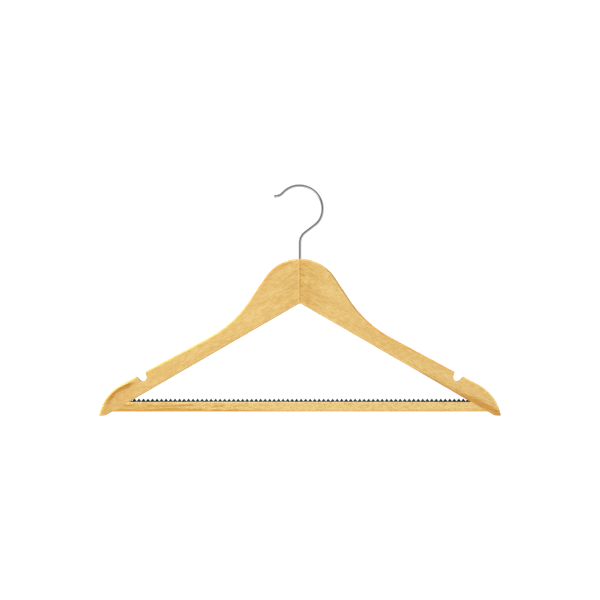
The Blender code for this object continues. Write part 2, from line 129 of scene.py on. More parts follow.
# How finely the shapes are drawn
ARC_STEP = math.radians(2)
BALL_STEP = math.radians(10)
RIM_STEPS = 5
WIRE_STEPS = 10
ROUND_SIDES = 64
SMOOTH_ANGLE = math.radians(35)
FLAT_FACE_WEIGHT = 90
WELD = 0.001 * MM
OVERRUN = 2 * MM


class Pen:
    """Draws an outline in the X-Z plane from straight runs and arcs."""

    def __init__(self, x, z, heading):
        self.at = Vector((x, z))
        self.heading = heading
        self.points = [self.at.copy()]

    def forward(self, length):
        """Draws a straight run."""
        self.at = self.at + length * Vector((math.cos(self.heading), math.sin(self.heading)))
        self.points.append(self.at.copy())

    def arc(self, radius, turn, shortest=WELD):
        """Draws an arc that turns left, or right by a negative angle, in chords of a shortest length."""
        fitting = math.floor(radius * abs(turn) / shortest)
        steps = min(math.ceil(abs(turn) / ARC_STEP), max(fitting, 1))
        half_step = turn / steps / 2
        chord = 2 * radius * math.sin(abs(half_step))
        for _ in range(steps):
            self.heading += half_step
            self.forward(chord)
            self.heading += half_step


def mirrored(points):
    """The points' mirror images across the swivel axis, in the opposite order."""
    return [Vector((-point.x, point.y)) for point in reversed(points)]


def hook_right_side():
    """The wire's centre line from the middle of the hook's arch down to the wood."""
    pen = Pen(-HOOK_LEAN, WIRE_RADIUS, 0)
    pen.arc(HOOK_RADIUS, -HOOK_RIGHT_TURN)
    pen.arc(NECK_RADIUS, NECK_SLOPE + HOOK_RIGHT_TURN - math.pi)
    bend_width = BEND_RADIUS * (1 - math.sin(NECK_SLOPE))
    pen.forward((pen.at.x - bend_width) / math.cos(NECK_SLOPE))
    pen.arc(BEND_RADIUS, math.pi / 2 - NECK_SLOPE)
    pen.forward(SHANK_RISE)
    return pen


CROWN_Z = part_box("left_arm")[1].z


def shoulder_edge():
    """The top edge from the crown's middle to the right tip, and where its straight stretch ends."""
    pen = Pen(0, CROWN_Z, 0)
    pen.arc(CROWN_RADIUS, -CROWN_STEEPNESS)
    pen.forward(NECK_RUN)
    pen.arc(SWEEP_RADIUS, CROWN_STEEPNESS - SHOULDER_SLOPE)
    tip_width = TIP_RADIUS * (math.sin(TIP_STEEPNESS) - math.sin(SHOULDER_SLOPE))
    pen.forward((HANGER_WIDTH / 2 - tip_width - pen.at.x) / math.cos(SHOULDER_SLOPE))
    straight_end = pen.at.copy()
    pen.arc(TIP_RADIUS, SHOULDER_SLOPE - TIP_STEEPNESS, TIP_CHORD)
    return pen.points, straight_end


FOOT_Z = shoulder_edge()[0][-1].y
FOOT_CORNER_X = HANGER_WIDTH / 2 - FOOT_WIDTH
APEX_Z = FOOT_Z + FOOT_CORNER_X * math.tan(UNDERSIDE_SLOPE)
BAR_BOTTOM = FOOT_Z + FOOT_BELOW_BAR
BAR_TOP = BAR_BOTTOM + BAR_HEIGHT
BAR_MIDDLE = BAR_BOTTOM + BAR_HEIGHT / 2


def underside_x(z):
    """How far from the swivel axis the arms' straight underside is at a height."""
    return (APEX_Z - z) / math.tan(UNDERSIDE_SLOPE)


def underside_run(z):
    """The distance from the apex to a height, along the underside."""
    return (APEX_Z - z) / math.sin(UNDERSIDE_SLOPE)


STRIP_REACH = underside_x(BAR_TOP) - GROOVE_STOP


def underside_edge():
    """The lower edge from the foot to the apex, with a tab where the bar's end is seated."""
    pen = Pen(FOOT_CORNER_X + FOOT_FILLET * math.tan(UNDERSIDE_SLOPE / 2), FOOT_Z, math.pi)
    pen.arc(FOOT_FILLET, -UNDERSIDE_SLOPE)
    pen.forward(underside_run(pen.at.y) - underside_run(BAR_BOTTOM))
    seat = underside_run(BAR_BOTTOM) - underside_run(BAR_TOP)
    tab = 2 * RIM_RADIUS
    for turn, run in ((math.pi / 2, tab), (-math.pi / 2, seat), (-math.pi / 2, tab)):
        pen.heading += turn
        pen.forward(run)
    return pen.points + [Vector((0, APEX_Z))]


def shoulders_outline():
    """Both arms' outline in one closed loop, before the arms are parted at the middle."""
    right = shoulder_edge()[0] + underside_edge()
    return right + mirrored(right[1:-1])


def comb_outline():
    """The toothed strip's outline, with rounded tips, longer than the finished strip."""
    back = BAR_TOP - GROOVE_DEPTH + SNUG
    root = BAR_TOP + STRIP_PROUD
    flank = (TOOTH_PITCH - TOOTH_TIP - TOOTH_ROOT) / 2
    tooth = (
        (-TOOTH_TIP / 2 - flank, 0),
        (-TOOTH_TIP / 2 - TOOTH_ROUNDING / 2, TOOTH_HEIGHT - 2 * TOOTH_ROUNDING),
        (-TOOTH_TIP / 2 + TOOTH_ROUNDING, TOOTH_HEIGHT),
    )
    tooth += tuple((-step, height) for step, height in reversed(tooth))
    count = math.ceil(STRIP_REACH / TOOTH_PITCH) + 1
    reach = (count + 1) * TOOTH_PITCH
    points = [Vector((-reach, back)), Vector((-reach, root))]
    for index in range(-count, count + 1):
        middle = TOOTH_OFFSET + index * TOOTH_PITCH
        points += [Vector((middle + step, root + height)) for step, height in tooth]
    return points + [Vector((reach, root)), Vector((reach, back))]


def notch_outline(side):
    """A slot with a round bottom in one shoulder's top edge, flared so that it is widest at its mouth."""
    straight_end = shoulder_edge()[1]
    along = Vector((math.cos(SHOULDER_SLOPE), -math.sin(SHOULDER_SLOPE)))
    inward = Vector((-math.sin(SHOULDER_SLOPE), -math.cos(SHOULDER_SLOPE)))
    radius = NOTCH_WIDTH / 2
    straight = NOTCH_DEPTH - radius + OVERRUN
    outer_run, inner_run = (
        (straight + radius * math.sin(flare)) / math.cos(flare)
        for flare in (NOTCH_OUTER_FLARE, NOTCH_INNER_FLARE)
    )
    middle = straight_end - NOTCH_SETBACK * along + (NOTCH_DEPTH - radius) * inward
    lean = Matrix.Rotation(-NOTCH_OUTER_FLARE, 2)
    wall = lean @ inward
    start = middle + radius * (lean @ along) - outer_run * wall
    pen = Pen(start.x, start.y, math.atan2(wall.y, wall.x))
    pen.forward(outer_run)
    pen.arc(radius, NOTCH_OUTER_FLARE + NOTCH_INNER_FLARE - math.pi)
    pen.forward(inner_run)
    return pen.points if side == RIGHT else mirrored(pen.points)


def end_with_profile(pen, radii, profile):
    """Carries a wire on in a straight line, with a radius after each advance."""
    for advance, radius in profile:
        pen.forward(advance)
        radii.append(radius)


def ball_profile():
    """The groove and the ball at the hook's tip, as advances along the wire and radii."""
    profile = [
        (BALL_GROOVE_DEPTH, WIRE_RADIUS),
        (BALL_GROOVE_DEPTH, BALL_GROOVE_RADIUS),
        (BALL_GROOVE_LENGTH, BALL_GROOVE_RADIUS),
    ]
    start = math.asin(BALL_GROOVE_RADIUS / BALL_RADIUS)
    steps = math.ceil((BALL_END_ANGLE - start) / BALL_STEP)
    angles = [start + (BALL_END_ANGLE - start) * step / steps for step in range(steps + 1)]
    for before, angle in zip(angles, angles[1:]):
        advance = BALL_RADIUS * (math.cos(before) - math.cos(angle))
        profile.append((advance, BALL_RADIUS * math.sin(angle)))
    return profile


def head_profile():
    """The shank inside its sleeve and the upset head below it."""
    return [
        (SHANK_IN_WOOD, WIRE_RADIUS),
        (HEAD_CHAMFER, HEAD_RADIUS),
        (HEAD_HEIGHT - 2 * HEAD_CHAMFER, HEAD_RADIUS),
        (HEAD_CHAMFER, HEAD_RADIUS - HEAD_CHAMFER),
    ]


def hook_route():
    """The whole wire's centre line from the ball tip to the head, with its radius at each point."""
    tip = Pen(-HOOK_LEAN, WIRE_RADIUS, math.pi)
    tip.arc(HOOK_LEFT_RADIUS, HOOK_LEFT_TURN)
    tip.forward(LIP_RUN)
    tip.arc(LIP_RADIUS, -LIP_TURN)
    tip_radii = [WIRE_RADIUS] * len(tip.points)
    end_with_profile(tip, tip_radii, ball_profile())
    shank = hook_right_side()
    shank_radii = [WIRE_RADIUS] * len(shank.points)
    end_with_profile(shank, shank_radii, head_profile())
    return tip.points[::-1] + shank.points[1:], tip_radii[::-1] + shank_radii[1:]


def object_of(name, data):
    """Puts a mesh, curve, lamp or camera into the scene."""
    made = bpy.data.objects.new(name, data)
    bpy.context.scene.collection.objects.link(made)
    return made


def settled(piece):
    """Turns a piece's modifiers or its curve into a plain mesh."""
    bpy.context.view_layer.update()
    graph = bpy.context.evaluated_depsgraph_get()
    mesh = bpy.data.meshes.new_from_object(piece.evaluated_get(graph))
    if piece.type == "CURVE":
        mesh.transform(piece.matrix_world)
        bpy.data.objects.remove(piece)
        shape = bmesh.new()
        shape.from_mesh(mesh)
        bmesh.ops.remove_doubles(shape, verts=shape.verts, dist=WELD)
        shape.to_mesh(mesh)
        shape.free()
    else:
        piece.modifiers.clear()
        piece.data = mesh
    return mesh


def smoothed(piece):
    """Smooth shading that keeps sharp corners sharp and flat faces flat."""
    piece.data.shade_smooth()
    piece.data.set_sharp_from_angle(angle=SMOOTH_ANGLE)
    weighted = piece.modifiers.new("flat_faces_stay_flat", "WEIGHTED_NORMAL")
    weighted.keep_sharp = True
    weighted.weight = FLAT_FACE_WEIGHT
    settled(piece)


def curve_through(name, points, dimensions):
    """A curve of straight runs through the points, and its one spline."""
    curve = bpy.data.curves.new(name, "CURVE")
    curve.dimensions = dimensions
    spline = curve.splines.new("POLY")
    spline.points.add(len(points) - 1)
    for target, point in zip(spline.points, points):
        target.co = (*point, 1)
    return curve, spline


def plate(name, outline, thickness, rim_radius=0, rim_steps=RIM_STEPS):
    """A flat plate in the X-Z plane from a closed outline, with both its rims rounded over."""
    curve, spline = curve_through(name, [(x, z, 0) for x, z in outline], "2D")
    spline.use_cyclic_u = True
    curve.fill_mode = "BOTH"
    curve.extrude = thickness / 2 - rim_radius
    curve.bevel_depth = rim_radius
    curve.offset = -rim_radius
    curve.bevel_resolution = rim_steps
    guide = object_of(name, curve)
    guide.matrix_world = Matrix.Rotation(math.pi / 2, 4, "X")
    return settled(guide)


def block(name, low, high, place=None):
    """A box between two corners, in the axes of a place."""
    middle = (Vector(low) + Vector(high)) / 2
    size = Vector(high) - Vector(low)
    mesh = bpy.data.meshes.new(name)
    shape = bmesh.new()
    axes = (place or Matrix()) @ Matrix.Translation(middle) @ Matrix.Diagonal((*size, 1))
    bmesh.ops.create_cube(shape, size=1, matrix=axes)
    shape.to_mesh(mesh)
    shape.free()
    return object_of(name, mesh)


def round_bore(name, diameter, length, place):
    """A round cutter along its own Z axis, put in place."""
    mesh = bpy.data.meshes.new(name)
    shape = bmesh.new()
    bmesh.ops.create_cone(
        shape,
        cap_ends=True,
        segments=ROUND_SIDES,
        radius1=diameter / 2,
        radius2=diameter / 2,
        depth=length,
        matrix=place,
    )
    shape.to_mesh(mesh)
    shape.free()
    return object_of(name, mesh)


def cut(piece, cutters):
    """Cuts the cutters out of a piece and clears them away."""
    for cutter in cutters:
        boolean = piece.modifiers.new(cutter.name, "BOOLEAN")
        boolean.operation = "DIFFERENCE"
        boolean.solver = "EXACT"
        boolean.object = cutter
    settled(piece)
    for cutter in cutters:
        bpy.data.objects.remove(cutter)


def underside_block(name, side, start, end, low, high):
    """A box along one arm's underside, from a lower to a higher level above it."""
    place = Matrix.Translation((0, 0, APEX_Z)) @ Matrix.Rotation(side * UNDERSIDE_SLOPE, 4, "Y")
    near, far = sorted((side * start, side * end))
    return block(name, (near, -WOOD_THICKNESS, low), (far, WOOD_THICKNESS, high), place)


def seat_cutter(side):
    """Mills the seat of the bar's end, and takes the tab off."""
    start = underside_run(BAR_TOP) - HAIRLINE
    end = underside_run(BAR_BOTTOM) + HAIRLINE
    return underside_block("bar_seat", side, start, end, -3 * RIM_RADIUS, HAIRLINE)


def mitre_cutter(side, lift):
    """Trims what would reach into an arm, with its cut at a level from the underside."""
    start = underside_run(BAR_TOP) - 2 * BAR_HEIGHT
    end = underside_run(BAR_BOTTOM) + 2 * BAR_HEIGHT
    return underside_block("mitre", side, start, end, lift, 2 * BAR_HEIGHT)


def dowel_bore(side):
    """The bore through the middle of the bar's end and into the arm."""
    middle = Matrix.Translation((side * underside_x(BAR_MIDDLE), 0, BAR_MIDDLE))
    place = middle @ Matrix.Rotation(math.pi / 2, 4, "Y")
    return round_bore("dowel_bore", DOWEL_BORE, DOWEL_BORE_LENGTH, place)


def hook_bore():
    """The blind bore at the middle joint, for the sleeve and the hook's head."""
    length = HOOK_BORE_DEPTH + OVERRUN
    place = Matrix.Translation((0, 0, CROWN_Z + OVERRUN - length / 2))
    return round_bore("hook_bore", HOOK_BORE, length, place)


def middle_block(near, far, front, back):
    """A box over the whole height at the middle joint."""
    return block("parting", (near, front, FOOT_Z - OVERRUN), (far, back, CROWN_Z + OVERRUN))


def seam_easing(face):
    """Takes the corner off both arms along the seam, on the front or the back face."""
    place = Matrix.Translation((0, face * WOOD_THICKNESS / 2, 0)) @ Matrix.Rotation(math.pi / 4, 4, "Z")
    half = SEAM_EASE / math.sqrt(2)
    return block("seam_easing", (-half, -half, FOOT_Z), (half, half, CROWN_Z + OVERRUN), place)


def left_parting():
    """What parts the left arm from the right and leaves its tongue standing."""
    end = HANGER_WIDTH
    depth = WOOD_THICKNESS
    cheek = TONGUE_THICKNESS / 2
    return [
        middle_block(TONGUE_REACH, end, -depth, depth),
        middle_block(-HAIRLINE / 2, end, -depth, -cheek),
        middle_block(-HAIRLINE / 2, end, cheek, depth),
    ]


def right_parting():
    """What parts the right arm from the left and opens its slot for the tongue."""
    depth = WOOD_THICKNESS
    slot = TONGUE_THICKNESS / 2 + SNUG
    return [
        middle_block(-HANGER_WIDTH, HAIRLINE / 2, -depth, depth),
        middle_block(-OVERRUN, TONGUE_REACH + SNUG, -slot, slot),
    ]


def make_arm(name, side, parting):
    """One shoulder, cut from a blank with rounded rims."""
    arm = object_of(name, plate(name, shoulders_outline(), WOOD_THICKNESS, RIM_RADIUS))
    notch = object_of("notch", plate("notch", notch_outline(side), 2 * WOOD_THICKNESS))
    easing = [seam_easing(face) for face in (FRONT, BACK)]
    cut(arm, parting + easing + [hook_bore(), seat_cutter(side), notch, dowel_bore(side)])
    smoothed(arm)
    return arm


def make_bar():
    """The bar, with rounded long edges, mitred ends, a groove on top and a bore in each end."""
    reach = underside_x(BAR_BOTTOM) + OVERRUN
    half = WOOD_THICKNESS / 2
    bar = block("bar", (-reach, -half, BAR_BOTTOM), (reach, half, BAR_TOP))
    shape = bmesh.new()
    shape.from_mesh(bar.data)
    long_edges = [edge for edge in shape.edges if abs(edge.verts[0].co.x - edge.verts[1].co.x) > reach]
    bmesh.ops.bevel(
        shape,
        geom=long_edges,
        offset=BAR_RIM_RADIUS,
        segments=2 * RIM_STEPS,
        profile=0.5,
        affect="EDGES",
    )
    shape.to_mesh(bar.data)
    shape.free()
    groove_half = STRIP_WIDTH / 2 + SNUG
    groove = block(
        "groove",
        (-STRIP_REACH, -groove_half, BAR_TOP - GROOVE_DEPTH),
        (STRIP_REACH, groove_half, BAR_TOP + OVERRUN),
    )
    cut(bar, [groove] + [mitre_cutter(side, 0) for side in SIDES] + [dowel_bore(side) for side in SIDES])
    smoothed(bar)
    return bar


def make_strip():
    """The toothed strip, cut to length and trimmed under the arms at both ends."""
    strip = object_of("toothed_strip", plate("toothed_strip", comb_outline(), STRIP_WIDTH, STRIP_EDGE, 1))
    cutters = [mitre_cutter(side, -SNUG) for side in SIDES]
    for side in SIDES:
        near, far = sorted((side * (STRIP_REACH - SNUG), side * HANGER_WIDTH))
        cutters.append(block("strip_end", (near, -STRIP_WIDTH, FOOT_Z), (far, STRIP_WIDTH, APEX_Z)))
    cut(strip, cutters)
    smoothed(strip)
    return strip


def make_hook():
    """The bent wire, with a grooved ball at its tip and an upset head at its foot."""
    route, radii = hook_route()
    curve, spline = curve_through("wire_hook", [(x, 0, z) for x, z in route], "3D")
    curve.bevel_depth = 1  # times each point's radius
    curve.bevel_resolution = WIRE_STEPS
    curve.use_fill_caps = True
    for point, radius in zip(spline.points, radii):
        point.radius = radius
    hook = object_of("wire_hook", settled(object_of("wire_route", curve)))
    smoothed(hook)
    return hook


def make_sleeve():
    """The ridged sleeve in the wood, which the hook turns in."""
    bore = SLEEVE_BORE / 2
    outside = SLEEVE_DIAMETER / 2
    top = CROWN_Z - SLEEVE_SUNK
    profile = [(outside, 0)]
    for index in range(1, SLEEVE_RIDGE_COUNT + 1):
        height = -index * SLEEVE_LENGTH / (SLEEVE_RIDGE_COUNT + 1)
        profile += [
            (outside, height + SLEEVE_RIDGE / 2),
            (outside + SLEEVE_RIDGE, height + SLEEVE_RIDGE / 2),
            (outside, height - 2 * SLEEVE_RIDGE),
        ]
    profile += [(outside, -SLEEVE_LENGTH), (bore, -SLEEVE_LENGTH), (bore, 0)]
    mesh = bpy.data.meshes.new("ridged_sleeve")
    edges = [(index, (index + 1) % len(profile)) for index in range(len(profile))]
    mesh.from_pydata([(radius, 0, top + height) for radius, height in profile], edges, [])
    sleeve = object_of("ridged_sleeve", mesh)
    screw = sleeve.modifiers.new("turned", "SCREW")
    screw.steps = ROUND_SIDES
    screw.render_steps = ROUND_SIDES
    screw.use_merge_vertices = True
    screw.merge_threshold = WELD
    settled(sleeve)
    smoothed(sleeve)
    return sleeve


# Where a Mix node takes the share and two colours, and gives the mixed one
MIX_SHARE = 0
MIX_LOW = 6
MIX_HIGH = 7
MIXED = 2


class Tone:
    """A node's output, wrapped so that sums with it add Math nodes."""

    def __init__(self, recipe, socket):
        self.recipe = recipe
        self.socket = socket

    def math(self, operation, *terms):
        """A Math node on these terms."""
        return self.recipe.node("ShaderNodeMath", {"operation": operation}, dict(enumerate(terms)))

    def __add__(self, other):
        return self.math("ADD", self, other)

    def __sub__(self, other):
        return self.math("SUBTRACT", self, other)

    def __rsub__(self, other):
        return self.math("SUBTRACT", other, self)

    def __mul__(self, other):
        return self.math("MULTIPLY", self, other)

    def __pow__(self, power):
        return self.math("POWER", abs(self), power)

    def __abs__(self):
        return self.math("ABSOLUTE", self)

    __radd__ = __add__
    __rmul__ = __mul__

    def step(self, start, end):
        """Goes smoothly from 0 at the start to 1 at the end, which may be the lower of the two."""
        sockets = {"Value": self, "From Min": start, "From Max": end}
        return self.recipe.node("ShaderNodeMapRange", {"interpolation_type": "SMOOTHSTEP"}, sockets)

    def between(self, one_edge, other_edge):
        """1 between two soft edges and 0 outside, each edge given by where it is 0 and where it is 1."""
        return self.step(*one_edge) * self.step(*other_edge)

    def towards(self, target, share):
        """Moved to a target, by a share of the way."""
        return self + share * (target - self)

    def times(self, factors):
        """A vector, multiplied axis by axis."""
        return self.recipe.node("ShaderNodeVectorMath", {"operation": "MULTIPLY"}, {0: self, 1: factors})

    def moved(self, offset):
        """A vector, moved by an offset."""
        return self.recipe.node("ShaderNodeVectorMath", {"operation": "ADD"}, {0: self, 1: offset})

    def axes(self):
        """A vector's three parts."""
        made = self.recipe.node("ShaderNodeSeparateXYZ", {}, {0: self}).socket.node
        return [Tone(self.recipe, output) for output in made.outputs]


class Recipe:
    """The nodes of one finish."""

    def __init__(self, tree):
        self.tree = tree

    def node(self, kind, settings, sockets, output=0):
        """Adds a node with its settings, then the values or links of its sockets, and gives one output."""
        made = self.tree.nodes.new(kind)
        for name, setting in settings.items():
            setattr(made, name, setting)
        for name, value in sockets.items():
            self.feed(made.inputs[name], value)
        return Tone(self, made.outputs[output])

    def feed(self, target, value):
        """Links a socket to a tone, or sets it to a plain value."""
        if isinstance(value, Tone):
            self.tree.links.new(value.socket, target)
        else:
            target.default_value = value

    def coloured(self, low, high, share):
        """One colour turning into another as the share goes from 0 to 1."""
        sockets = {MIX_SHARE: share, MIX_LOW: low, MIX_HIGH: high}
        return self.node("ShaderNodeMix", {"data_type": "RGBA"}, sockets, MIXED)

    def place(self):
        """The point on the piece, in millimetres."""
        return self.node("ShaderNodeTexCoord", {}, {}, "Object").times((1 / MM,) * 3)

    def facing(self):
        """The surface's normal in the piece's own axes."""
        return self.node("ShaderNodeTexCoord", {}, {}, "Normal").axes()

    def noise(self, place, sizes, detail=2, contrast=1):
        """Soft noise round zero, with spots of about these sizes."""
        spots = place.times([1 / size for size in sizes])
        cloud = self.node("ShaderNodeTexNoise", {}, {"Vector": spots, "Scale": 1, "Detail": detail})
        return cloud * contrast - contrast / 2


def paint(red, green, blue):
    """A screen colour, from 0 to 255, as the renderer's linear colour."""
    levels = [level / 255 for level in (red, green, blue)]
    linear = [level / 12.92 if level <= 0.04045 else ((level + 0.055) / 1.055) ** 2.4 for level in levels]
    return (*linear, 1)


def finish_named(name, even):
    """A material with a Principled shader and the values that are even all over it."""
    material = bpy.data.materials.new(name)
    material.use_nodes = True
    shader = material.node_tree.nodes["Principled BSDF"]
    for socket, value in even.items():
        shader.inputs[socket].default_value = value
    return material, shader, Recipe(material.node_tree)


def relieved(recipe, shader, height, strength, depth):
    """Gives a surface a fine relief, by a height that goes with its pattern."""
    sockets = {"Height": height, "Strength": strength, "Distance": depth}
    recipe.feed(shader.inputs["Normal"], recipe.node("ShaderNodeBump", {}, sockets))


# What is even all over a finish
LACQUER = {"Coat Roughness": 0.18, "Coat IOR": 1.5, "Specular IOR Level": 0.35}
BARE = {"Specular IOR Level": 0.3}
CHROME = {"Metallic": 1.0, "Specular IOR Level": 0.5}
PLAIN_PLATE = {"Metallic": 1.0}
SOFT_PLASTIC = {"Specular IOR Level": 0.45}
FLOOR_PAINT = {"Roughness": 0.9, "Emission Color": (1, 1, 1, 1), "Emission Strength": 1}

# The wood's colours, as on a screen
EVEN_WOOD = paint(229, 191, 116)
PALE_WOOD = paint(239, 207, 139)
DEEP_WOOD = paint(219, 174, 92)
BAR_PALE_WOOD = paint(240, 210, 142)
FLECK = paint(200, 140, 62)
WAVE = paint(208, 148, 54)
# The next six rim colours are painted highlight and painted shade for light on the rounded edges
RIM_HIGHLIGHT_PALE = paint(252, 217, 128)
RIM_HIGHLIGHT_YELLOW = paint(252, 219, 112)
RIM_LIGHT_ORANGE = paint(246, 184, 82)
RIM_SHADE_BROWN = paint(210, 163, 86)
RIM_UNDER_LIGHT = paint(243, 204, 124)
BAR_RIM = paint(241, 208, 128)
# Painted shadow along the bar's top edge, under the strip
NOOK_SHADOW_BROWN = paint(96, 72, 40)
SHADE_BROWN = paint(196, 134, 44)
# Painted shade along the bar's lower edge
SHADE_LINE_ORANGE = paint(222, 160, 56)
FOOT_ORANGE = paint(206, 144, 52)
BARE_PALE_WOOD = paint(226, 193, 146)
BARE_DEEP_WOOD = paint(196, 158, 108)

# The other finishes' two colours, between which each of them varies
STRIP_DARK = paint(18, 28, 40)
STRIP_RUBBED = paint(69, 77, 88)
CHROME_DULL = (0.72, 0.73, 0.75, 1)
CHROME_BRIGHT = (0.86, 0.86, 0.87, 1)
PLATE_DULL = (0.5, 0.49, 0.46, 1)
PLATE_BRIGHT = (0.7, 0.7, 0.68, 1)
FLOOR_DULL = (0.86, 0.86, 0.85, 1)
FLOOR_BRIGHT = (0.94, 0.94, 0.94, 1)

# How rough each finish is on the whole, from 0, a mirror, to 1
WOOD_ROUGHNESS = 0.46
CHROME_ROUGHNESS = 0.13
PLATE_ROUGHNESS = 0.36
PLASTIC_ROUGHNESS = 0.5

# How deep the finishes' fine reliefs go
GRAIN_RELIEF = 0.05 * MM
DRAW_LINE_RELIEF = 0.01 * MM
SKIN_RELIEF = 0.03 * MM

# The sizes of the noises' spots along X, Y and Z, in millimetres; X runs along the grain where there is one
FIBRE_SPOTS = (26, 0.5, 0.5)
STREAK_SPOTS = (6, 1.1, 1.1)
BAND_SPOTS = (70, 7, 7)
FLECK_SPOTS = (4, 0.8, 0.8)
SEAM_MARK_SPOTS = (9, 1.2, 1.2)
SHADE_SPOTS = (14, 5, 5)
WAVE_SPOTS = (34, 6, 6)
WAVE_BREAK_SPOTS = (16, 20, 20)
SPECK_SPOTS = (2.8, 1.1, 1.1)
HAZE_SPOTS = (6, 6, 6)
DRAW_LINE_SPOTS = (4, 0.12, 4)
MOTTLE_SPOTS = (1.5, 1.5, 1.5)
SKIN_SPOTS = (0.5, 0.5, 0.5)
PATCH_SPOTS = (14, 5, 5)
FLOOR_SPOTS = (900, 900, 900)

# Moves within an endless plank, in millimetres, so that no two grains are the same
SEAM_MARKS_PLANK = (0, 0, 40)
BAR_PLANK = (500, 70, 300)
DOWEL_PLANK = (0, 30, 90)

# The slope of the arms' grain
GRAIN_SLOPE = math.radians(26)

# How the arms' woods differ: the part of the plank, the strength of the grain, the deeper wood, marks and
# shade at the middle seam, the colour of the end's shade, and the painted highlight and shade colours that
# the top rim turns to on its way outwards, each with the millimetres where the turn starts and ends
ARM_LOOKS = {
    LEFT: {
        "name": "left_lacquer",
        "plank": (0, 20, 60),
        "grain": 1,
        "seam_depth": 0.1,
        "seam_marks": 0.4,
        "seam_shade": 0.25,
        "end_colour": SHADE_BROWN,
        "rim": ((RIM_LIGHT_ORANGE, 14, 24), (RIM_HIGHLIGHT_YELLOW, 48, 75)),
    },
    RIGHT: {
        "name": "right_lacquer",
        "plank": (300, 50, 10),
        "grain": 1.2,
        "seam_depth": 0.25,
        "seam_marks": 0.6,
        "seam_shade": 0.35,
        "end_colour": FOOT_ORANGE,
        "rim": ((RIM_SHADE_BROWN, 18, 34), (RIM_LIGHT_ORANGE, 56, 82), (RIM_HIGHLIGHT_PALE, 168, 178)),
    },
}

# The streak along the right foot: a point on its middle line, in millimetres, and its fall outwards
FOOT_STREAK_X = 205
FOOT_STREAK_Z = -243
FOOT_STREAK_FALL = 0.5

# The bar's wavy figure, in millimetres: half the distance between its lines, and the arch that they rise in
WAVE_HALF_GAP = 2.1
ARCH_X = -76
ARCH_SPREAD = 26
ARCH_RISE = 3.6


def wood_grain(recipe, along):
    """Fibres, streaks, broad bands and flecks of wood that grows along X, in millimetres."""
    fibres = recipe.noise(along, FIBRE_SPOTS, 3)
    streaks = recipe.noise(along, STREAK_SPOTS, 2)
    bands = recipe.noise(along, BAND_SPOTS, 2)
    flecks = recipe.noise(along, FLECK_SPOTS, 1).step(0.1, 0.26)
    return fibres, streaks, bands, flecks


def laid(recipe, place, angle, offset):
    """The place, turned so that the wood's length is along X, and moved to another part of the plank."""
    sockets = {"Vector": place, "Angle": angle}
    return recipe.node("ShaderNodeVectorRotate", {"rotation_type": "Y_AXIS"}, sockets).moved(offset)


def finish_wood(recipe, shader, colour, fibres, flecks, gloss):
    """Colour, and the roughness, coat and relief that go with the grain."""
    recipe.feed(shader.inputs["Base Color"], colour)
    recipe.feed(shader.inputs["Roughness"], WOOD_ROUGHNESS + fibres * 0.12 + flecks * 0.06)
    recipe.feed(shader.inputs["Coat Weight"], gloss)
    relieved(recipe, shader, fibres - flecks * 0.5, 0.25, GRAIN_RELIEF)


def tinted(recipe, colour, tint, share):
    """Shifts even wood to the tint and keeps the grain in it."""
    shifted = colour.times(tint).times([1 / level for level in EVEN_WOOD[:3]])
    return recipe.coloured(colour, shifted, share)


def rounded_corner(facing):
    """1 on the rounded rims between the front or back and the edges, 0 on the flat wood beside them."""
    return abs(facing[1]).between((1, 0.96), (0.04, 0.36))


def rim_light_tint(recipe, side, out, facing):
    """Painted highlight and shade for an arm's rim, changing along its top edge and different on its
    underside.
    """
    top = RIM_HIGHLIGHT_PALE
    for colour, start, end in ARM_LOOKS[side]["rim"]:
        top = recipe.coloured(top, colour, out.step(start, end))
    under = RIM_UNDER_LIGHT
    if side == RIGHT:
        under = recipe.coloured(RIM_UNDER_LIGHT, FOOT_ORANGE, out.step(120, 150) * 0.45)
    return recipe.coloured(top, under, facing[2].step(0.1, -0.1))


def tip_centre():
    """The middle of the circle that the right tip's top edge is part of."""
    outward = Vector((math.sin(SHOULDER_SLOPE), math.cos(SHOULDER_SLOPE)))
    return (shoulder_edge()[1] - TIP_RADIUS * outward) / MM


def foot_shade(x, z, wander):
    """Darker wood in a streak along the right foot, and a fainter painted shade along the underside over
    the bar's end.
    """
    from_streak = z - FOOT_STREAK_Z + (x - FOOT_STREAK_X) * FOOT_STREAK_FALL + wander * 0.8
    streak = abs(from_streak).step(5.5, 1) * x.step(165, 195)
    # A fainter painted shade along the underside's edge
    over_edge = z - APEX_Z / MM + x * math.tan(UNDERSIDE_SLOPE) + wander * 0.2
    return streak * 0.9 + over_edge.step(6, 1.5) * x.between((125, 150), (190, 180)) * 0.4


def tip_shade(x, z, wander):
    """Darker wood at the left arm's end: a crescent under the tip's edge, and a faint shade below it."""
    centre = tip_centre()
    from_edge = TIP_RADIUS / MM - ((x + centre.x) ** 2 + (z - centre.y) ** 2) ** 0.5
    deep = from_edge + wander * 0.4
    crescent = deep.step(8.5, 3.5) * x.between((-179, -190), (-218, -208))
    below = deep.step(24, 12) * x.step(-176, -190)
    return (crescent * 0.8 + below * 0.22) * from_edge.step(1.6, 2.4)


def painted_crown_shade(x, z):
    """A thin line of painted shade under the left half of the crown's rim."""
    deep = CROWN_RADIUS / MM - (x**2 + (z - (CROWN_Z - CROWN_RADIUS) / MM) ** 2) ** 0.5
    return deep.between((7.5, 3), (1.2, 2.2)) * x.between((-6, -16), (-44, -30)) * 0.3


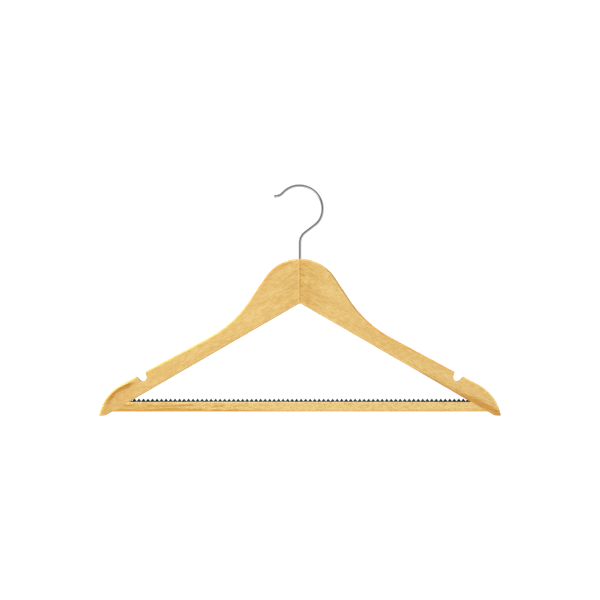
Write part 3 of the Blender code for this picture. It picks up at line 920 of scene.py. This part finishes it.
def arm_wood(side):
    """Lacquered wood of one arm, with its grain along the shoulder."""
    look = ARM_LOOKS[side]
    material, shader, recipe = finish_named(look["name"], LACQUER)
    place = recipe.place()
    x, _, z = place.axes()
    out = x * side
    along = laid(recipe, place, -side * GRAIN_SLOPE, look["plank"])
    fibres, streaks, bands, flecks = wood_grain(recipe, along)
    near_seam = out.step(34, 2)
    grain = (fibres * 1.3 + streaks * 2.0) * look["grain"] + bands * 0.8
    colour = recipe.coloured(PALE_WOOD, DEEP_WOOD, 0.5 + grain + near_seam * look["seam_depth"])
    marks = recipe.noise(along.moved(SEAM_MARKS_PLANK), SEAM_MARK_SPOTS, 2).step(0.02, 0.16) * near_seam
    colour = recipe.coloured(colour, FLECK, flecks * 0.2 + marks * look["seam_marks"])
    if side == LEFT:
        beside_notch = out.between((138, 152), (178, 168))
        colour = recipe.coloured(colour, DEEP_WOOD, beside_notch * 0.12)
        # A painted highlight in a pale line just left of the seam
        seam_highlight = out.between((2.6, 1.9), (0.9, 1.5))
        colour = recipe.coloured(colour, PALE_WOOD, seam_highlight * 0.6)
    colour = recipe.coloured(colour, SHADE_BROWN, out.step(1.5, 0.5) * look["seam_shade"])
    facing = recipe.facing()
    # The rounded rims take a painted highlight and painted shade
    colour = tinted(recipe, colour, rim_light_tint(recipe, side, out, facing), rounded_corner(facing) * 0.95)
    wander = recipe.noise(place, SHADE_SPOTS, 2, 9)
    # Darker wood at the ends, with painted shade under the crown's rim on the left and along the underside
    # on the right
    shade = foot_shade(x, z, wander) if side == RIGHT else tip_shade(x, z, wander) + painted_crown_shade(x, z)
    colour = recipe.coloured(colour, look["end_colour"], shade * (0.95 + streaks * 0.9))
    finish_wood(recipe, shader, colour, fibres + streaks * 0.5, flecks, 0.35 + bands * 0.1)
    return material


def wavy_figure(recipe, along, x, y, z):
    """Broken wavy lines along the bar, which rise in an arch at one place."""
    arch = ((x - ARCH_X) * (1 / ARCH_SPREAD)) ** 2
    wander = recipe.noise(along, WAVE_SPOTS, 2, 5)
    level = z - BAR_BOTTOM / MM + wander + y * 0.4 + arch.step(1.6, 0) * -ARCH_RISE
    lines = recipe.node("ShaderNodeMath", {"operation": "PINGPONG"}, {0: level, 1: WAVE_HALF_GAP})
    unbroken = recipe.noise(along, WAVE_BREAK_SPOTS, 1).step(-0.12, 0.06)
    return lines.step(1.3, 0.2) * unbroken


def bar_wood():
    """Lacquered wood of the bar, with fine specks all over and a wavy figure on its left half."""
    material, shader, recipe = finish_named("bar_lacquer", LACQUER)
    place = recipe.place()
    x, y, z = place.axes()
    bottom, middle, top = BAR_BOTTOM / MM, BAR_MIDDLE / MM, BAR_TOP / MM
    along = place.moved(BAR_PLANK)
    fibres, streaks, bands, flecks = wood_grain(recipe, along)
    specks = recipe.noise(place, SPECK_SPOTS, 2)
    left = x.step(-20, -70)
    below_rim = z.step(top - 0.9, top - 2)
    share = 0.3 + fibres * 0.9 + streaks * 0.9 + bands * 0.5 + specks * 2.9 + x.step(-60, -170) * 0.4
    # The top rim on the left is made paler, a painted highlight
    colour = recipe.coloured(BAR_PALE_WOOD, DEEP_WOOD, share - left * (1 - below_rim) * 0.32)
    waves = wavy_figure(recipe, along, x, y, z) * left * below_rim
    colour = recipe.coloured(colour, WAVE, flecks * 0.15 + waves * 0.8)
    facing = recipe.facing()
    # Painted highlight along the bar's top rim and painted shade along its bottom rim
    bar_rim_light = recipe.coloured(RIM_LIGHT_ORANGE, BAR_RIM, z.step(middle - 1, middle + 1))
    colour = tinted(recipe, colour, bar_rim_light, rounded_corner(facing) * (0.75 + bands))
    # Painted shade in a line along the bar's lower edge, stronger on the left
    bottom_shade_line = z.step(bottom + 2.5, bottom + 1.2) * abs(facing[1]).step(0.05, 0.4)
    colour = recipe.coloured(colour, SHADE_LINE_ORANGE, bottom_shade_line * (0.35 + left * 0.5 + bands * 0.6))
    # Painted shadow along the bar's top edge under the strip, stronger towards the arms
    strip_nook_shadow = z.step(top - 0.5, top - 0.1) * (0.12 + abs(x).step(90, 180) * 0.42)
    colour = recipe.coloured(colour, NOOK_SHADOW_BROWN, strip_nook_shadow)
    finish_wood(recipe, shader, colour, fibres + streaks * 0.5, flecks, 0.35 + bands * 0.1)
    return material


def bare_wood():
    """Unfinished wood of the hidden dowels."""
    material, shader, recipe = finish_named("dowel_bare", BARE)
    fibres, _, bands, flecks = wood_grain(recipe, recipe.place().moved(DOWEL_PLANK))
    colour = recipe.coloured(BARE_PALE_WOOD, BARE_DEEP_WOOD, 0.5 + fibres * 0.6 + bands)
    finish_wood(recipe, shader, recipe.coloured(colour, FLECK, flecks * 0.2), fibres, flecks, 0)
    return material


def hook_plating():
    """Polished chrome plate on drawn wire, with faint draw lines and finger haze."""
    material, shader, recipe = finish_named("hook_plate", CHROME)
    place = recipe.place()
    haze = recipe.noise(place, HAZE_SPOTS, 3)
    lines = recipe.noise(place, DRAW_LINE_SPOTS, 1)
    recipe.feed(shader.inputs["Base Color"], recipe.coloured(CHROME_DULL, CHROME_BRIGHT, 0.5 + haze))
    recipe.feed(shader.inputs["Roughness"], CHROME_ROUGHNESS + haze * 0.06)
    relieved(recipe, shader, lines, 0.05, DRAW_LINE_RELIEF)
    return material


def sleeve_plating():
    """Plain plated steel with a dull, slightly mottled skin."""
    material, shader, recipe = finish_named("sleeve_plate", PLAIN_PLATE)
    mottle = recipe.noise(recipe.place(), MOTTLE_SPOTS, 3)
    recipe.feed(shader.inputs["Base Color"], recipe.coloured(PLATE_DULL, PLATE_BRIGHT, 0.5 + mottle))
    recipe.feed(shader.inputs["Roughness"], PLATE_ROUGHNESS + mottle * 0.2)
    return material


def strip_plastic():
    """Dark soft plastic, paler on the teeth's rubbed tips, with painted shade between the teeth and at the
    ends.
    """
    material, shader, recipe = finish_named("strip_soft", SOFT_PLASTIC)
    place = recipe.place()
    x, _, z = place.axes()
    skin = recipe.noise(place, SKIN_SPOTS, 3)
    patches = recipe.noise(place, PATCH_SPOTS, 2)
    root = (BAR_TOP + STRIP_PROUD) / MM
    rubbed = z.step(root + 1.4, root + TOOTH_HEIGHT / MM) * 0.6
    # Painted shade down between the teeth and towards the strip's ends
    deep = z.step(root + 0.8, root) * 0.25 + abs(x).step(140, 165) * 0.3
    share = 0.3 + patches * 0.8 + rubbed - deep
    recipe.feed(shader.inputs["Base Color"], recipe.coloured(STRIP_DARK, STRIP_RUBBED, share))
    recipe.feed(shader.inputs["Roughness"], PLASTIC_ROUGHNESS + skin * 0.2)
    relieved(recipe, shader, skin, 0.2, SKIN_RELIEF)
    return material


def dress(piece, material):
    """Gives a piece one material all over."""
    piece.data.materials.clear()
    piece.data.materials.append(material)


def set_in(piece, material, body, node):
    """Puts a finished piece in the place of a node of the frame."""
    dress(piece, material)
    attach(piece, body)
    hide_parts(node)


left_shoulder = make_arm("left_shoulder", LEFT, left_parting())
right_shoulder = make_arm("right_shoulder", RIGHT, right_parting())
set_in(left_shoulder, arm_wood(LEFT), "hanger", "left_arm")
set_in(right_shoulder, arm_wood(RIGHT), "hanger", "right_arm")
set_in(make_bar(), bar_wood(), "hanger", "trouser_bar")
set_in(make_strip(), strip_plastic(), "hanger", "grip_strip")
set_in(make_hook(), hook_plating(), "hook", "hook")
set_in(make_sleeve(), sleeve_plating(), "hanger", "hook_sleeve")
dowel_finish = bare_wood()
for dowel in ("left_bar_dowel", "right_bar_dowel"):
    dress(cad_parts[dowel], dowel_finish)

# The room's levels of light, where 1 is white
ROOM_WHITE = 0.95
FRONT_GREY = 0.5
BACK_GREY = 0.3
BACKDROP = 1.2

# The studio's sizes and places, in metres, and the lamps' powers, in watts
FLOOR_REACH = 20
FLOOR_Z = -1.75
LAMP_SIZE = 0.8
LAMP_AIM = (0, 0, -0.15)
LAMPS = (
    ("key_lamp", (-1.0, -1.5, 0.8), 32),
    ("fill_lamp", (0.9, -1.2, -1.1), 8),
    ("back_lamp", (0.9, 1.4, 0.9), 8),
)
CAMERA_PLACE = (0, -1.849, -0.1253)
CAMERA_REACH = 100

# The camera's lens and sensor, in millimetres
LENS_LENGTH = 100
SENSOR_WIDTH = 36


def add_floor():
    """A pale floor far below, as under a wardrobe rod."""
    mesh = bpy.data.meshes.new("floor")
    corners = [(x * FLOOR_REACH, y * FLOOR_REACH, FLOOR_Z) for x, y in ((-1, -1), (1, -1), (1, 1), (-1, 1))]
    mesh.from_pydata(corners, [], [(0, 1, 2, 3)])
    floor = object_of("floor", mesh)
    material, shader, recipe = finish_named("floor_paint", FLOOR_PAINT)
    shade = recipe.noise(recipe.place(), FLOOR_SPOTS, 2)
    recipe.feed(shader.inputs["Base Color"], recipe.coloured(FLOOR_DULL, FLOOR_BRIGHT, 0.5 + shade))
    dress(floor, material)
    floor.visible_diffuse = False
    floor.visible_glossy = False


def add_room():
    """A white studio with a grey front, two dark cards and a window, for the chrome to show."""
    world = bpy.data.worlds.new("studio")
    bpy.context.scene.world = world
    world.use_nodes = True
    recipe = Recipe(world.node_tree)
    background = world.node_tree.nodes["Background"]
    x, y, z = recipe.node("ShaderNodeTexCoord", {}, {}, "Generated").axes()
    mirrored_only = recipe.node("ShaderNodeLightPath", {}, {}, "Is Glossy Ray")
    seen = recipe.node("ShaderNodeLightPath", {}, {}, "Is Camera Ray")
    front = y.step(-0.22, -0.42)
    front_card = front * x.step(-0.97, -0.8) * (z - x * 0.5).step(-0.3, 0.02)
    window = (x + z).step(-0.25, -0.6) * abs(x - z).step(0.45, 0.25) * mirrored_only
    back_card = y.step(0.5, 0.8) * abs(z).step(0.55, 0.25) * mirrored_only
    white = ROOM_WHITE - z.step(0.1, -0.7) * 0.3
    level = white.towards(FRONT_GREY, front) - front_card * 0.37
    level = level.towards(ROOM_WHITE, window).towards(BACK_GREY, back_card)
    recipe.feed(background.inputs["Strength"], level.towards(BACKDROP, seen))
    background.inputs["Color"].default_value = (1, 1, 1, 1)


def add_lamp(name, place, power):
    """A soft square lamp, turned to the hanger's middle, that is neither seen nor mirrored itself."""
    lamp = bpy.data.lights.new(name, "AREA")
    lamp.size = LAMP_SIZE
    lamp.energy = power
    made = object_of(name, lamp)
    made.location = place
    made.rotation_euler = (Vector(LAMP_AIM) - Vector(place)).to_track_quat("-Z", "Y").to_euler()
    made.visible_camera = False
    made.visible_glossy = False


def add_camera():
    """The camera, level and straight in front of the hanger, as in the photograph."""
    lens = bpy.data.cameras.new("camera")
    lens.lens = LENS_LENGTH
    lens.sensor_width = SENSOR_WIDTH
    lens.clip_end = CAMERA_REACH
    camera = object_of("camera", lens)
    camera.location = CAMERA_PLACE
    camera.rotation_euler = (math.pi / 2, 0, 0)
    bpy.context.scene.camera = camera


bpy.context.scene.view_settings.view_transform = "Standard"
add_floor()
add_room()
for lamp_name, lamp_place, lamp_power in LAMPS:
    add_lamp(lamp_name, lamp_place, lamp_power)
add_camera()
